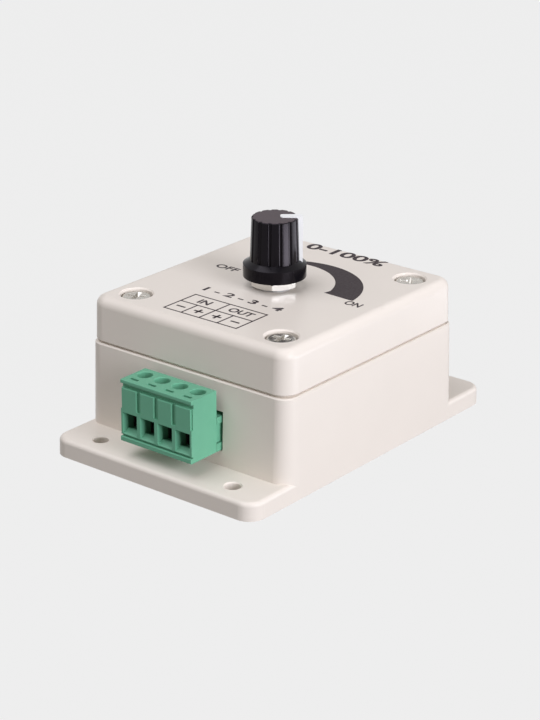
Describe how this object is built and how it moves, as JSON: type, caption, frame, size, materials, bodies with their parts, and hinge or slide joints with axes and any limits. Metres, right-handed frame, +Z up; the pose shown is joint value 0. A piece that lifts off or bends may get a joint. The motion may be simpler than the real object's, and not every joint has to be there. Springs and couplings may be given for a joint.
{
  "type": "led dimmer",
  "caption": "Flanged plastic dimmer box with a fluted rotary knob on its lid and a plug-in screw terminal block on its front, for dimming low-voltage LED strip.",
  "frame": {"origin": "middle of the base's underside, which is the mounting plane", "axes": "+Z up out of the lid along the knob's shaft, -Y towards the terminal block, +X to the right when facing the terminals"},
  "size_m": [0.0582, 0.0872, 0.0513],
  "materials": {
    "ivory_case": "moulded ABS, fine satin",
    "nickel_screw": "nickel-plated steel",
    "nickel_nut": "bright nickel plate",
    "board": "green solder mask on glass epoxy",
    "green_housing": "moulded polyamide, satin",
    "tinned_brass": "tin-plated brass",
    "cage_brass": "nickel-plated brass",
    "wiper_brass": "bare spring brass",
    "zinc": "die-cast and pressed metal, plated",
    "shaft_aluminium": "turned",
    "phenolic": "phenolic sheet",
    "lead_sleeve": "soft vinyl sleeve",
    "knob_black": "moulded ABS, gloss",
    "pointer_white": "moulded ABS, semi-gloss",
    "epoxy_black": "moulded epoxy",
    "cap_sleeve": "shrunk vinyl sleeve",
    "resistor_lacquer": "lacquer",
    "ceramic_coat": "dipped ceramic"
  },
  "bodies": {
    "enclosure": {"base_shell": "ivory_case", "lid": "ivory_case", "lid_screws": "nickel_screw", "board_screws": "nickel_screw", "circuit_board": "board", "header_housing": "green_housing", "header_pins": "tinned_brass", "pot_bushing": "zinc", "pot_washer": "nickel_nut", "pot_nut": "nickel_nut", "pot_wafer": "phenolic", "pot_terminals": "tinned_brass", "pot_can": "zinc", "pot_leads": "lead_sleeve", "mosfet_tab": "tinned_brass", "mosfet_body": "epoxy_black", "timer_ic": "epoxy_black", "timer_pins": "tinned_brass", "electrolytic_cap": "cap_sleeve", "resistors": "resistor_lacquer", "diodes": "epoxy_black", "ceramic_caps": "ceramic_coat", "component_leads": "tinned_brass"},
    "knob": {"knob": "knob_black", "knob_pointer": "pointer_white", "pot_shaft": "shaft_aluminium", "shaft_clip": "nickel_screw", "pot_rotor": "phenolic", "pot_wiper": "wiper_brass"},
    "plug": {"plug_housing": "green_housing", "plug_contacts": "tinned_brass"},
    "screw_1": {"terminal_screw_1": "nickel_screw"},
    "cage_1": {"clamp_cage_1": "cage_brass"},
    "screw_2": {"terminal_screw_2": "nickel_screw"},
    "cage_2": {"clamp_cage_2": "cage_brass"},
    "screw_3": {"terminal_screw_3": "nickel_screw"},
    "cage_3": {"clamp_cage_3": "cage_brass"},
    "screw_4": {"terminal_screw_4": "nickel_screw"},
    "cage_4": {"clamp_cage_4": "cage_brass"}
  },
  "joints": [
    {"name": "knob_turn", "type": "hinge", "parent": "enclosure", "child": "knob", "pos_m": [0, 0, 0.03725], "axis": [0, 0, 1], "range_deg": [-98.8, 201.2]},
    {"name": "plug_pull", "type": "slide", "parent": "enclosure", "child": "plug", "axis": [0, -1, 0], "range_m": [0, 0.014]},
    {"name": "screw_1_turn", "type": "hinge", "parent": "plug", "child": "screw_1", "pos_m": [-0.00717, -0.0362, 0.02], "axis": [0, 0, -1], "range_deg": [0, 1800]},
    {"name": "cage_1_rise", "type": "slide", "parent": "plug", "child": "cage_1", "axis": [0, 0, 1], "range_m": [0, 0.0025]},
    {"name": "screw_2_turn", "type": "hinge", "parent": "plug", "child": "screw_2", "pos_m": [-0.00209, -0.0362, 0.02], "axis": [0, 0, -1], "range_deg": [0, 1800]},
    {"name": "cage_2_rise", "type": "slide", "parent": "plug", "child": "cage_2", "axis": [0, 0, 1], "range_m": [0, 0.0025]},
    {"name": "screw_3_turn", "type": "hinge", "parent": "plug", "child": "screw_3", "pos_m": [0.00299, -0.0362, 0.02], "axis": [0, 0, -1], "range_deg": [0, 1800]},
    {"name": "cage_3_rise", "type": "slide", "parent": "plug", "child": "cage_3", "axis": [0, 0, 1], "range_m": [0, 0.0025]},
    {"name": "screw_4_turn", "type": "hinge", "parent": "plug", "child": "screw_4", "pos_m": [0.00807, -0.0362, 0.02], "axis": [0, 0, -1], "range_deg": [0, 1800]},
    {"name": "cage_4_rise", "type": "slide", "parent": "plug", "child": "cage_4", "axis": [0, 0, 1], "range_m": [0, 0.0025]}
  ],
  "couplings": [
    {"joint": "screw_1_turn", "follows": "cage_1_rise", "rad_per_m": 12566},
    {"joint": "screw_2_turn", "follows": "cage_2_rise", "rad_per_m": 12566},
    {"joint": "screw_3_turn", "follows": "cage_3_rise", "rad_per_m": 12566},
    {"joint": "screw_4_turn", "follows": "cage_4_rise", "rad_per_m": 12566}
  ]
}
